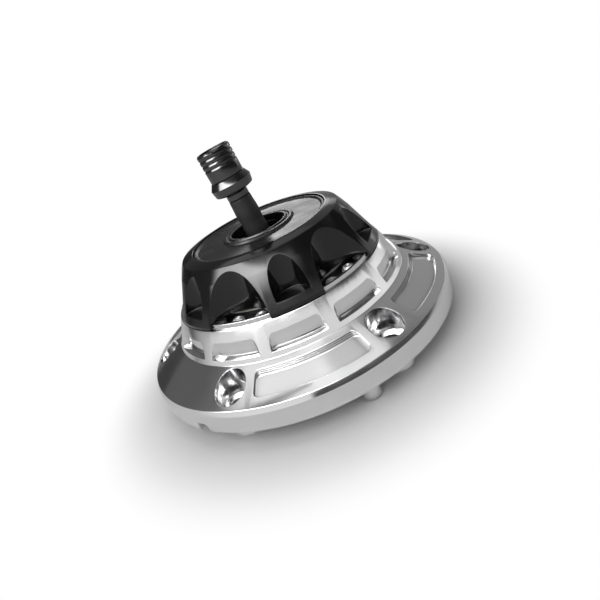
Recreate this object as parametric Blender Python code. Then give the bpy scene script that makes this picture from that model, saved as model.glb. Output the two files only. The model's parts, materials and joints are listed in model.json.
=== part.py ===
"""Billet fuel filler cap with its tank flange and a vent valve on a rubber hose stub.

Metres, +Z up along the cap's axis. The origin is on that axis, in the plane of the flange's feet.
Every piece is one closed solid; threads are left plain, with a running clearance between them.
"""

import math

import bmesh
import bpy
from mathutils import Matrix, Vector

MM = 0.001

# Clearances
FIT = 0.3 * MM
THREAD_CLEARANCE = 0.4 * MM
CUT_PAST = 2.0 * MM
WELD = 1e-7

# Flange, from its feet upwards; the dowels reach past the feet
FLANGE_RADIUS = 65.0 * MM
FOOT_HEIGHT = 4.6 * MM
RIM_HEIGHT = 7.0 * MM
RIM_CHAMFER_WIDTH = 0.8 * MM
RIM_CHAMFER_HEIGHT = 1.9 * MM
FACE_RISE = 7.2 * MM
COLLAR_BASE_RADIUS = 49.3 * MM
COLLAR_RISE = 11.2 * MM
COLLAR_TOP_RADIUS = 43.7 * MM
SPIGOT_INSET = 1.3 * MM
SPIGOT_HEIGHT = 1.8 * MM
LIP_WIDTH = 1.2 * MM
RECESS_RADIUS = 47.0 * MM
RECESS_WALL_HEIGHT = 6.0 * MM
HUB_THICKNESS = 9.5 * MM
HUB_WALL = 4.0 * MM

# Holes, feet and dowels of the flange
BOLT_COUNT = 6
BOLT_CIRCLE_RADIUS = 56.3 * MM
BOLT_PHASE = math.radians(-62.5)
BOLT_HOLE_RADIUS = 3.3 * MM
COUNTERBORE_RADIUS = 6.3 * MM
SEAT_THICKNESS = 5.4 * MM
FOOT_RADIUS = 5.6 * MM
DOWEL_COUNT = 3
DOWEL_CIRCLE_RADIUS = 58.2 * MM
DOWEL_PHASE = math.radians(-77.4)
DOWEL_DROP = 2.4 * MM
DOWEL_RADIUS = 3.7 * MM
DOWEL_SET_DEPTH = 6.0 * MM
DRAIN_ANGLE = math.radians(-134.4)
DRAIN_WIDTH = 5.0 * MM
DRAIN_HEIGHT = 3.2 * MM

# Pockets milled in the flange's face, between the bolts, and in the collar
FACE_POCKET_HALF_ANGLE = math.radians(20.3)
FACE_POCKET_INNER_MARGIN = 2.4 * MM
FACE_POCKET_OUTER_MARGIN = 3.1 * MM
FACE_POCKET_INNER_DEPTH = 3.4 * MM
FACE_POCKET_OUTER_DEPTH = 1.0 * MM
FACE_POCKET_CORNER = 2.2 * MM
BARE_FACE_POCKET = 4
COLLAR_POCKET_COUNT = 12
COLLAR_POCKET_HALF_ANGLE = math.radians(12.4)
COLLAR_POCKET_BACK = 4.3 * MM
COLLAR_POCKET_FLOOR_RISE = 1.8 * MM
COLLAR_POCKET_CORNER = 2.6 * MM

# Threaded insert that is screwed into the flange
INSERT_DROP = 3.8 * MM
INSERT_WIDTH = 10.9 * MM
INSERT_THICKNESS = 4.0 * MM
SLEEVE_WALL = 3.0 * MM
SLEEVE_LENGTH = 15.0 * MM
INSERT_SEAL_HEIGHT = 1.4 * MM
INSERT_SEAL_WIDTH = 1.4 * MM
INSERT_SEAL_EDGE = 0.6 * MM
RING_SCREW_COUNT = 24
RING_SCREW_PHASE = math.radians(-123.0)
RING_SCREW_EDGE = 4.7 * MM
RING_SCREW_HEAD_RADIUS = 2.2 * MM
RING_SCREW_HEAD_HEIGHT = 1.4 * MM
RING_SCREW_SHANK_RADIUS = 1.25 * MM
RING_SCREW_GRIP = 4.0 * MM

# Screw plug of the cap, its seal and the slip washer above the seal
PLUG_THREAD_LENGTH = 12.0 * MM
PLUG_SHOULDER_WIDTH = 2.7 * MM
PLUG_SHOULDER_HEIGHT = 1.2 * MM
PLUG_HUB_WIDTH = 0.8 * MM
PLUG_WALL = 3.6 * MM
PLUG_ROOF = 6.0 * MM
VENT_WELL_RADIUS = 11.6 * MM
VENT_WELL_WALL = 3.0 * MM
VENT_WELL_DEPTH = 11.0 * MM
SEAL_THICKNESS = 1.2 * MM
SLIP_WASHER_THICKNESS = 0.5 * MM
SEAL_WIDTH = 2.2 * MM

# Grip shell of the cap
CAP_HEIGHT = 19.9 * MM
CAP_RIM_BAND = 1.2 * MM
CAP_WALL_INSET = 7.3 * MM
CAP_WALL_DROP = 5.7 * MM
CAP_SHOULDER_INSET = 9.0 * MM
CAP_SHOULDER_DROP = 2.5 * MM
CAP_CROWN_INSET = 11.6 * MM
CAP_CROWN_DROP = 0.7 * MM
CAP_TOP_INSET = 14.9 * MM
CAP_TOP_LAND = 0.5 * MM
CAP_TOP_WEB = 2.6 * MM
CAP_GRIP_COUNT = 6
CAP_GRIP_PHASE = math.radians(-87.0)
NOTCH_RADIUS = 14.2 * MM
NOTCH_BITE = 9.4 * MM
WINDOW_RADIUS = 6.4 * MM
WINDOW_BITE = 9.2 * MM
WINDOW_FLOOR = 3.8 * MM

# Cover disc let into the cap's top
DISC_DROP = 1.1 * MM
DISC_THICKNESS = 1.6 * MM
DISC_HUB_WIDTH = 2.6 * MM
DISC_HUB_HEIGHT = 1.3 * MM
DISC_MOUTH_RADIUS = 11.4 * MM

# Vent: barbed fitting, hose stub, check valve
OVERALL_HEIGHT = 88.2 * MM
VENT_LEAN = math.radians(5.0)
FITTING_BASE_RADIUS = 7.0 * MM
FITTING_BASE_HEIGHT = 3.4 * MM
FITTING_STEM_RADIUS = 2.7 * MM
FITTING_STEM_LENGTH = 9.0 * MM
FITTING_BARB_RISE = 0.15 * MM
FITTING_BORE_RADIUS = 1.3 * MM
FITTING_TAIL_RADIUS = 4.0 * MM
FITTING_TAIL_LENGTH = 4.0 * MM
HOSE_RADIUS = 4.7 * MM
HOSE_BORE_RADIUS = 3.3 * MM
VALVE_STEM_RADIUS = 2.9 * MM
VALVE_STEM_LENGTH = 8.0 * MM
VALVE_NECK_RADIUS = 4.4 * MM
VALVE_NECK_LENGTH = 2.2 * MM
VALVE_CONE_HEIGHT = 1.1 * MM
VALVE_COLLAR_RADIUS = 8.3 * MM
VALVE_COLLAR_TAPER = 0.5 * MM
VALVE_COLLAR_HEIGHT = 5.4 * MM
VALVE_COLLAR_CHAMFER = 1.8 * MM
VALVE_SPIGOT_RADIUS = 4.9 * MM
VALVE_SPIGOT_LENGTH = 3.0 * MM
VALVE_PASSAGE_RADIUS = 1.5 * MM
VALVE_CAP_RADIUS = 6.7 * MM
VALVE_CAP_HEIGHT = 11.0 * MM
VALVE_CAP_WEB = 5.4 * MM
VALVE_GROOVE_COUNT = 3
VALVE_GROOVE_PITCH = 1.9 * MM
VALVE_GROOVE_WIDTH = 0.6 * MM
VALVE_GROOVE_DEPTH = 0.35 * MM
VALVE_DISH_DEPTH = 0.9 * MM
VALVE_DISH_RIM = 0.9 * MM
VALVE_OUTLET_RADIUS = 1.6 * MM
BALL_RADIUS = 2.6 * MM
BALL_CLEARANCE = 0.4 * MM

# Facets around each kind of turned piece
FLANGE_SEGMENTS = 60
CAP_SEGMENTS = 60
RING_SEGMENTS = 48
SMALL_SEGMENTS = 20
SCREW_SEGMENTS = 6
HOLE_SEGMENTS = 16
ARC_STEPS = 3
SMOOTH_ANGLE = math.radians(32)

# Levels and radii that follow from the sizes above
FOOT_BOTTOM = DOWEL_DROP
RIM_BOTTOM = FOOT_BOTTOM + FOOT_HEIGHT
RIM_TOP = RIM_BOTTOM + RIM_HEIGHT
FACE_EDGE = RIM_TOP + RIM_CHAMFER_HEIGHT
FACE_EDGE_RADIUS = FLANGE_RADIUS - RIM_CHAMFER_WIDTH
COLLAR_BASE = FACE_EDGE + FACE_RISE
SHOULDER = COLLAR_BASE + COLLAR_RISE
LIP_TOP = SHOULDER + SPIGOT_HEIGHT
SPIGOT_RADIUS = COLLAR_TOP_RADIUS - SPIGOT_INSET
SOCKET_RADIUS = SPIGOT_RADIUS - LIP_WIDTH
INSERT_TOP = LIP_TOP - INSERT_DROP
INSERT_BOTTOM = INSERT_TOP - INSERT_THICKNESS
SOCKET_FLOOR = INSERT_BOTTOM - FIT
INSERT_RADIUS = SOCKET_RADIUS - FIT
INSERT_BORE_RADIUS = INSERT_RADIUS - INSERT_WIDTH
PLUG_THREAD_RADIUS = INSERT_BORE_RADIUS - THREAD_CLEARANCE
PLUG_HUB_RADIUS = PLUG_THREAD_RADIUS + PLUG_HUB_WIDTH
SLEEVE_RADIUS = INSERT_BORE_RADIUS + SLEEVE_WALL
HUB_BORE_RADIUS = SLEEVE_RADIUS + FIT
HUB_BOTTOM = SOCKET_FLOOR - HUB_THICKNESS
SEAL_RING_RADIUS = INSERT_RADIUS - INSERT_SEAL_EDGE
GROOVE_OUTER = SEAL_RING_RADIUS + FIT
GROOVE_INNER = SEAL_RING_RADIUS - INSERT_SEAL_WIDTH - FIT
GROOVE_FLOOR = SOCKET_FLOOR - INSERT_SEAL_HEIGHT
RECESS_TOP = RIM_BOTTOM + RECESS_WALL_HEIGHT
RING_SCREW_CIRCLE = INSERT_RADIUS - RING_SCREW_EDGE
COUNTERBORE_FLOOR = RIM_BOTTOM + SEAT_THICKNESS
SEAL_BOTTOM = INSERT_TOP + FIT
WASHER_BOTTOM = SEAL_BOTTOM + SEAL_THICKNESS + FIT
SHOULDER_BOTTOM = WASHER_BOTTOM + SLIP_WASHER_THICKNESS + FIT
SHOULDER_RADIUS = PLUG_THREAD_RADIUS + PLUG_SHOULDER_WIDTH
SHOULDER_TOP = SHOULDER_BOTTOM + PLUG_SHOULDER_HEIGHT
PLUG_BOTTOM = INSERT_TOP - PLUG_THREAD_LENGTH
CAP_BOTTOM = SHOULDER + FIT
CAP_TOP = CAP_BOTTOM + CAP_HEIGHT
CAP_RIM_RADIUS = COLLAR_TOP_RADIUS
CAP_TOP_RADIUS = CAP_RIM_RADIUS - CAP_TOP_INSET
CAP_SKIRT_BORE = SPIGOT_RADIUS + FIT
CAP_UNDERSIDE = max(LIP_TOP, SHOULDER_TOP) + FIT
CAP_HUB_BORE = PLUG_HUB_RADIUS + FIT
DISC_TOP = CAP_TOP - DISC_DROP
DISC_BOTTOM = DISC_TOP - DISC_THICKNESS
DISC_RADIUS = CAP_TOP_RADIUS - CAP_TOP_LAND - FIT
DISC_SEAT = DISC_BOTTOM - FIT
WEB_BOTTOM = DISC_SEAT - CAP_TOP_WEB
PLUG_TOP = WEB_BOTTOM - FIT
WELL_FLOOR = PLUG_TOP - VENT_WELL_DEPTH
FITTING_SEAT = WELL_FLOOR + FIT
HOSE_PIVOT = FITTING_SEAT + FITTING_BASE_HEIGHT + FITTING_STEM_LENGTH / 2
HOSE_BOTTOM = FIT + HOSE_RADIUS * math.tan(VENT_LEAN) - FITTING_STEM_LENGTH / 2
VALVE_COLLAR_TOP = VALVE_NECK_LENGTH + VALVE_CONE_HEIGHT + VALVE_COLLAR_HEIGHT
VALVE_HEIGHT = VALVE_COLLAR_TOP + VALVE_CAP_HEIGHT + 2 * FIT
VALVE_RIM_RISE = VALVE_CAP_RADIUS * math.sin(VENT_LEAN)
VALVE_TOP = (OVERALL_HEIGHT - HOSE_PIVOT - VALVE_RIM_RISE) / math.cos(VENT_LEAN)
HOSE_TOP = VALVE_TOP - VALVE_HEIGHT


def clear_scene():
    for item in list(bpy.data.objects):
        bpy.data.objects.remove(item, do_unlink=True)


def material(name, colour, metallic, roughness):
    made = bpy.data.materials.new(name)
    made.use_nodes = True
    shader = made.node_tree.nodes["Principled BSDF"]
    shader.inputs["Base Color"].default_value = (*colour, 1.0)
    shader.inputs["Metallic"].default_value = metallic
    shader.inputs["Roughness"].default_value = roughness
    return made


def add_object(name, bm, finish=None, parent=None):
    """Turns a bmesh into a named object with smooth rounds and sharp corners."""
    bm.normal_update()
    bmesh.ops.recalc_face_normals(bm, faces=bm.faces)
    mesh = bpy.data.meshes.new(name)
    bm.to_mesh(mesh)
    bm.free()
    mesh.shade_smooth()
    mesh.set_sharp_from_angle(angle=SMOOTH_ANGLE)
    made = bpy.data.objects.new(name, mesh)
    bpy.context.scene.collection.objects.link(made)
    if finish:
        mesh.materials.append(finish)
    made.parent = parent
    return made


def add_empty(name, location, rotation=(0, 0, 0)):
    made = bpy.data.objects.new(name, None)
    bpy.context.scene.collection.objects.link(made)
    made.location = location
    made.rotation_euler = rotation
    return made


def turned(outline, segments):
    """Revolves a closed outline of (radius, height) points about Z; an edge on the axis is left out."""
    bm = bmesh.new()
    points = [bm.verts.new((radius, 0, height)) for radius, height in outline]
    edges = []
    for first, second in zip(points, points[1:] + points[:1]):
        if first.co.x > WELD or second.co.x > WELD:
            edges.append(bm.edges.new((first, second)))
    bmesh.ops.spin(
        bm,
        geom=points + edges,
        cent=(0, 0, 0),
        axis=(0, 0, 1),
        angle=2 * math.pi,
        steps=segments,
        use_merge=True,
    )
    bmesh.ops.remove_doubles(bm, verts=bm.verts, dist=WELD)
    bmesh.ops.recalc_face_normals(bm, faces=bm.faces)
    return bm


def cylinder(radius, bottom, top, segments):
    bm = bmesh.new()
    bmesh.ops.create_cone(
        bm,
        cap_ends=True,
        segments=segments,
        radius1=radius,
        radius2=radius,
        depth=top - bottom,
        matrix=Matrix.Translation((0, 0, (bottom + top) / 2)),
    )
    return bm


def join(target, piece, matrix):
    """Adds a moved copy of one bmesh to another."""
    copy = {v: target.verts.new(matrix @ v.co) for v in piece.verts}
    for face in piece.faces:
        target.faces.new([copy[v] for v in face.verts])


def polar_copies(piece, count, phase, radius=0.0, skip=()):
    """Copies of a bmesh spaced evenly about Z, each moved out by radius, in one bmesh."""
    bm = bmesh.new()
    for index in range(count):
        if index not in skip:
            turn = Matrix.Rotation(phase + 2 * math.pi * index / count, 4, "Z")
            join(bm, piece, turn @ Matrix.Translation((radius, 0, 0)))
    piece.free()
    return bm


def boolean(target, bm, name, operation="DIFFERENCE"):
    """Cuts a bmesh from an object, or joins it on, with a live Boolean modifier."""
    helper = add_object(name, bm, parent=target.parent)
    helper.hide_render = True
    helper.display_type = "WIRE"
    modifier = target.modifiers.new(name, "BOOLEAN")
    modifier.operation = operation
    modifier.solver = "EXACT"
    modifier.object = helper


def pocket_spans(inner, outer, half_angle, corner):
    """(angle, inner radius, outer radius) along an arc pocket whose four corners are rounded."""
    middle = (inner + outer) / 2
    corner = min(corner, (outer - inner) / 2.2)
    ends = []
    for step in range(ARC_STEPS + 1):
        swing = math.pi / 2 * step / ARC_STEPS
        back = corner * (1 - math.sin(swing))
        inset = corner * (1 - math.cos(swing))
        ends.append((half_angle - inset / middle, back))
    flats = [half_angle * share for share in (0.25, 0.5)]
    one_side = [(angle, 0.0) for angle in flats] + list(reversed(ends))
    whole = [(-a, b) for a, b in reversed(one_side)] + [(0.0, 0.0)] + one_side
    return [(angle, inner + back, outer - back) for angle, back in whole]


def arc_pocket(inner, outer, half_angle, corner, floor, top):
    """A cutter for a rounded arc pocket about +X: floor gives the height at a radius."""
    bm = bmesh.new()
    rows = []
    for angle, near, far in pocket_spans(inner, outer, half_angle, corner):
        ray = Vector((math.cos(angle), math.sin(angle), 0))
        corners = [(near, floor(near)), (far, floor(far)), (far, top), (near, top)]
        rows.append([bm.verts.new(ray * r + Vector((0, 0, z))) for r, z in corners])
    for row, following in zip(rows, rows[1:]):
        for a in range(4):
            b = (a + 1) % 4
            bm.faces.new((row[a], row[b], following[b], following[a]))
    bm.faces.new(rows[0])
    bm.faces.new(rows[-1])
    return bm


def face_height(radius):
    """Height of the flange's sloping face at a radius."""
    share = (FACE_EDGE_RADIUS - radius) / (FACE_EDGE_RADIUS - COLLAR_BASE_RADIUS)
    return FACE_EDGE + FACE_RISE * share


def make_flange(finish):
    outline = [
        (RECESS_RADIUS, RIM_BOTTOM),
        (FLANGE_RADIUS, RIM_BOTTOM),
        (FLANGE_RADIUS, RIM_TOP),
        (FACE_EDGE_RADIUS, FACE_EDGE),
        (COLLAR_BASE_RADIUS, COLLAR_BASE),
        (COLLAR_TOP_RADIUS, SHOULDER),
        (SPIGOT_RADIUS, SHOULDER),
        (SPIGOT_RADIUS, LIP_TOP),
        (SOCKET_RADIUS, LIP_TOP),
        (SOCKET_RADIUS, SOCKET_FLOOR),
        (GROOVE_OUTER, SOCKET_FLOOR),
        (GROOVE_OUTER, GROOVE_FLOOR),
        (GROOVE_INNER, GROOVE_FLOOR),
        (GROOVE_INNER, SOCKET_FLOOR),
        (HUB_BORE_RADIUS, SOCKET_FLOOR),
        (HUB_BORE_RADIUS, HUB_BOTTOM),
        (HUB_BORE_RADIUS + HUB_WALL, HUB_BOTTOM),
        (RECESS_RADIUS, RECESS_TOP),
    ]
    flange = add_object("flange_ring", turned(outline, FLANGE_SEGMENTS), finish)
    foot = cylinder(FOOT_RADIUS, FOOT_BOTTOM, RIM_BOTTOM + CUT_PAST, HOLE_SEGMENTS)
    feet = polar_copies(foot, BOLT_COUNT, BOLT_PHASE, BOLT_CIRCLE_RADIUS)
    boolean(flange, feet, "flange_feet", "UNION")
    cut_collar_pockets(flange)
    cut_face_pockets(flange)
    cut_bolt_holes(flange)
    cut_small_features(flange)
    return flange


def cut_collar_pockets(flange):
    back = COLLAR_BASE_RADIUS - COLLAR_POCKET_BACK
    floor = COLLAR_BASE + COLLAR_POCKET_FLOOR_RISE
    pocket = arc_pocket(
        back,
        COLLAR_BASE_RADIUS + CUT_PAST,
        COLLAR_POCKET_HALF_ANGLE,
        COLLAR_POCKET_CORNER,
        lambda radius: floor,
        SHOULDER,
    )
    boolean(
        flange,
        polar_copies(pocket, COLLAR_POCKET_COUNT, BOLT_PHASE),
        "collar_pockets",
    )


def cut_face_pockets(flange):
    inner = COLLAR_BASE_RADIUS + FACE_POCKET_INNER_MARGIN
    outer = FACE_EDGE_RADIUS - FACE_POCKET_OUTER_MARGIN
    inner_floor = face_height(inner) - FACE_POCKET_INNER_DEPTH
    outer_floor = face_height(outer) - FACE_POCKET_OUTER_DEPTH

    def floor(radius):
        return inner_floor + (outer_floor - inner_floor) * (radius - inner) / (outer - inner)

    pocket = arc_pocket(
        inner,
        outer,
        FACE_POCKET_HALF_ANGLE,
        FACE_POCKET_CORNER,
        floor,
        COLLAR_BASE + CUT_PAST,
    )
    midway = BOLT_PHASE + math.pi / BOLT_COUNT
    pockets = polar_copies(pocket, BOLT_COUNT, midway, skip=(BARE_FACE_POCKET,))
    boolean(flange, pockets, "face_pockets")


def cut_bolt_holes(flange):
    outline = [
        (0, -CUT_PAST),
        (BOLT_HOLE_RADIUS, -CUT_PAST),
        (BOLT_HOLE_RADIUS, COUNTERBORE_FLOOR),
        (COUNTERBORE_RADIUS, COUNTERBORE_FLOOR),
        (COUNTERBORE_RADIUS, COLLAR_BASE + CUT_PAST),
        (0, COLLAR_BASE + CUT_PAST),
    ]
    hole = turned(outline, HOLE_SEGMENTS)
    boolean(flange, polar_copies(hole, BOLT_COUNT, BOLT_PHASE, BOLT_CIRCLE_RADIUS), "bolt_holes")


def cut_small_features(flange):
    dowel_hole = cylinder(
        DOWEL_RADIUS + FIT,
        RIM_BOTTOM - CUT_PAST,
        RIM_BOTTOM + DOWEL_SET_DEPTH + FIT,
        HOLE_SEGMENTS,
    )
    holes = polar_copies(dowel_hole, DOWEL_COUNT, DOWEL_PHASE, DOWEL_CIRCLE_RADIUS)
    boolean(flange, holes, "dowel_holes")
    tapped = cylinder(
        RING_SCREW_SHANK_RADIUS + FIT,
        SOCKET_FLOOR - RING_SCREW_GRIP - FIT,
        SOCKET_FLOOR + CUT_PAST,
        SCREW_SEGMENTS,
    )
    holes = polar_copies(tapped, RING_SCREW_COUNT, RING_SCREW_PHASE, RING_SCREW_CIRCLE)
    boolean(flange, holes, "tapped_holes")
    slot = bmesh.new()
    start = RECESS_RADIUS - CUT_PAST
    length = FLANGE_RADIUS + CUT_PAST - start
    bmesh.ops.create_cube(slot, size=1.0)
    size = Matrix.Diagonal((length, DRAIN_WIDTH, DRAIN_HEIGHT + CUT_PAST, 1))
    middle = (start + length / 2, 0, RIM_BOTTOM + (DRAIN_HEIGHT - CUT_PAST) / 2)
    turn = Matrix.Rotation(DRAIN_ANGLE, 4, "Z")
    slot.transform(turn @ Matrix.Translation(middle) @ size)
    boolean(flange, slot, "drain_slot")


def make_dowels(finish):
    outline = [
        (0, 0),
        (DOWEL_RADIUS - RIM_CHAMFER_WIDTH, 0),
        (DOWEL_RADIUS, RIM_CHAMFER_WIDTH),
        (DOWEL_RADIUS, RIM_BOTTOM + DOWEL_SET_DEPTH),
        (0, RIM_BOTTOM + DOWEL_SET_DEPTH),
    ]
    for index in range(DOWEL_COUNT):
        angle = DOWEL_PHASE + 2 * math.pi * index / DOWEL_COUNT
        dowel = add_object(f"locating_dowel_{index + 1}", turned(outline, HOLE_SEGMENTS), finish)
        dowel.location = (
            DOWEL_CIRCLE_RADIUS * math.cos(angle),
            DOWEL_CIRCLE_RADIUS * math.sin(angle),
            0,
        )


def make_insert(finish, seal_finish):
    outline = [
        (INSERT_BORE_RADIUS, INSERT_BOTTOM - SLEEVE_LENGTH),
        (SLEEVE_RADIUS, INSERT_BOTTOM - SLEEVE_LENGTH),
        (SLEEVE_RADIUS, INSERT_BOTTOM),
        (INSERT_RADIUS, INSERT_BOTTOM),
        (INSERT_RADIUS, INSERT_TOP),
        (INSERT_BORE_RADIUS, INSERT_TOP),
    ]
    insert = add_object("threaded_insert", turned(outline, RING_SEGMENTS), finish)
    hole = cylinder(
        RING_SCREW_SHANK_RADIUS + FIT,
        INSERT_BOTTOM - CUT_PAST,
        INSERT_TOP + CUT_PAST,
        SCREW_SEGMENTS,
    )
    holes = polar_copies(hole, RING_SCREW_COUNT, RING_SCREW_PHASE, RING_SCREW_CIRCLE)
    boolean(insert, holes, "insert_holes")
    inner = SEAL_RING_RADIUS - INSERT_SEAL_WIDTH
    bottom = GROOVE_FLOOR + FIT
    top = INSERT_BOTTOM - FIT
    ring("insert_seal", inner, SEAL_RING_RADIUS, bottom, top, seal_finish, None)


def make_ring_screws(finish):
    """Button head screws that hold the insert down; all share one mesh."""
    under_head = INSERT_TOP + FIT
    dome = []
    for step in range(2):
        swing = math.pi / 4 * step
        dome.append(
            (
                RING_SCREW_HEAD_RADIUS * math.cos(swing),
                under_head + RING_SCREW_HEAD_HEIGHT * math.sin(swing),
            )
        )
    tip = SOCKET_FLOOR - RING_SCREW_GRIP
    outline = [(0, tip), (RING_SCREW_SHANK_RADIUS, tip), (RING_SCREW_SHANK_RADIUS, under_head)]
    outline += dome + [(0, under_head + RING_SCREW_HEAD_HEIGHT)]
    first = add_object("ring_screw_01", turned(outline, SCREW_SEGMENTS), finish)
    for index in range(RING_SCREW_COUNT):
        screw = first
        if index:
            screw = bpy.data.objects.new(f"ring_screw_{index + 1:02d}", first.data)
            bpy.context.scene.collection.objects.link(screw)
        angle = RING_SCREW_PHASE + 2 * math.pi * index / RING_SCREW_COUNT
        screw.location = (
            RING_SCREW_CIRCLE * math.cos(angle),
            RING_SCREW_CIRCLE * math.sin(angle),
            0,
        )


def make_cap_shell(finish, parent):
    outline = [
        (CAP_SKIRT_BORE, CAP_BOTTOM),
        (CAP_RIM_RADIUS, CAP_BOTTOM),
        (CAP_RIM_RADIUS, CAP_BOTTOM + CAP_RIM_BAND),
        (CAP_RIM_RADIUS - CAP_WALL_INSET, CAP_TOP - CAP_WALL_DROP),
        (CAP_RIM_RADIUS - CAP_SHOULDER_INSET, CAP_TOP - CAP_SHOULDER_DROP),
        (CAP_RIM_RADIUS - CAP_CROWN_INSET, CAP_TOP - CAP_CROWN_DROP),
        (CAP_TOP_RADIUS, CAP_TOP),
        (DISC_RADIUS + FIT, CAP_TOP),
        (DISC_RADIUS + FIT, DISC_SEAT),
        (VENT_WELL_RADIUS, DISC_SEAT),
        (VENT_WELL_RADIUS, WEB_BOTTOM),
        (CAP_HUB_BORE, WEB_BOTTOM),
        (CAP_HUB_BORE, CAP_UNDERSIDE),
        (CAP_SKIRT_BORE, CAP_UNDERSIDE),
    ]
    shell = add_object("cap_shell", turned(outline, CAP_SEGMENTS), finish, parent)
    notch = cylinder(NOTCH_RADIUS, CAP_BOTTOM - CUT_PAST, CAP_TOP + CUT_PAST, HOLE_SEGMENTS * 2)
    between = CAP_GRIP_PHASE + math.pi / CAP_GRIP_COUNT
    out = CAP_RIM_RADIUS - NOTCH_BITE + NOTCH_RADIUS
    notches = polar_copies(notch, CAP_GRIP_COUNT, between, out)
    boolean(shell, notches, "grip_notches")
    floor = CAP_BOTTOM + WINDOW_FLOOR
    window = cylinder(WINDOW_RADIUS, floor, CAP_TOP + CUT_PAST, HOLE_SEGMENTS)
    out = CAP_RIM_RADIUS - WINDOW_BITE + WINDOW_RADIUS
    boolean(shell, polar_copies(window, CAP_GRIP_COUNT, CAP_GRIP_PHASE, out), "grip_windows")
    return shell


def make_plug(finish, parent):
    bore = PLUG_THREAD_RADIUS - PLUG_WALL
    roof = PLUG_TOP - PLUG_ROOF
    well_outer = VENT_WELL_RADIUS + VENT_WELL_WALL
    well_bottom = WELL_FLOOR - FITTING_TAIL_LENGTH
    outline = [
        (bore, PLUG_BOTTOM),
        (PLUG_THREAD_RADIUS, PLUG_BOTTOM),
        (PLUG_THREAD_RADIUS, SHOULDER_BOTTOM),
        (SHOULDER_RADIUS, SHOULDER_BOTTOM),
        (SHOULDER_RADIUS, SHOULDER_TOP),
        (PLUG_HUB_RADIUS, SHOULDER_TOP),
        (PLUG_HUB_RADIUS, PLUG_TOP),
        (VENT_WELL_RADIUS, PLUG_TOP),
        (VENT_WELL_RADIUS, WELL_FLOOR),
        (FITTING_TAIL_RADIUS + FIT, WELL_FLOOR),
        (FITTING_TAIL_RADIUS + FIT, well_bottom),
        (well_outer, well_bottom),
        (well_outer, roof),
        (bore, roof),
    ]
    return add_object("cap_plug", turned(outline, RING_SEGMENTS), finish, parent)


def ring(name, inner, outer, bottom, top, finish, parent):
    outline = [(inner, bottom), (outer, bottom), (outer, top), (inner, top)]
    return add_object(name, turned(outline, RING_SEGMENTS), finish, parent)


def make_seal(seal_finish, washer_finish, parent):
    inner = INSERT_BORE_RADIUS
    outer = inner + SEAL_WIDTH
    seal_top = SEAL_BOTTOM + SEAL_THICKNESS
    ring("cap_seal", inner, outer, SEAL_BOTTOM, seal_top, seal_finish, parent)
    washer_top = WASHER_BOTTOM + SLIP_WASHER_THICKNESS
    ring("slip_washer", inner, outer, WASHER_BOTTOM, washer_top, washer_finish, parent)


def make_disc(finish, parent):
    hub_top = DISC_TOP + DISC_HUB_HEIGHT
    hub_radius = DISC_MOUTH_RADIUS + DISC_HUB_WIDTH
    bevel = DISC_HUB_HEIGHT / 2
    outline = [
        (DISC_MOUTH_RADIUS, DISC_BOTTOM),
        (DISC_RADIUS, DISC_BOTTOM),
        (DISC_RADIUS, DISC_TOP),
        (hub_radius, DISC_TOP),
        (hub_radius - bevel, hub_top),
        (DISC_MOUTH_RADIUS, hub_top),
    ]
    return add_object("cover_disc", turned(outline, RING_SEGMENTS), finish, parent)


def make_fitting(finish, parent):
    base_top = FITTING_SEAT + FITTING_BASE_HEIGHT
    tip = base_top + FITTING_STEM_LENGTH
    tail = FITTING_SEAT - FITTING_TAIL_LENGTH
    barb = FITTING_STEM_RADIUS + FITTING_BARB_RISE
    outline = [
        (FITTING_BORE_RADIUS, tail),
        (FITTING_TAIL_RADIUS, tail),
        (FITTING_TAIL_RADIUS, FITTING_SEAT),
        (FITTING_BASE_RADIUS, FITTING_SEAT),
        (FITTING_BASE_RADIUS, base_top),
        (FITTING_STEM_RADIUS, base_top),
        (FITTING_STEM_RADIUS, tip - FITTING_STEM_RADIUS),
        (barb, tip - FITTING_STEM_RADIUS),
        (FITTING_STEM_RADIUS - FITTING_BARB_RISE, tip),
        (FITTING_BORE_RADIUS, tip),
    ]
    return add_object("vent_fitting", turned(outline, SMALL_SEGMENTS), finish, parent)


def make_hose(finish, parent):
    outline = [
        (HOSE_BORE_RADIUS, HOSE_BOTTOM),
        (HOSE_RADIUS, HOSE_BOTTOM),
        (HOSE_RADIUS, HOSE_TOP),
        (HOSE_BORE_RADIUS, HOSE_TOP),
    ]
    add_object("vent_hose", turned(outline, SMALL_SEGMENTS), finish, parent)


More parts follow.
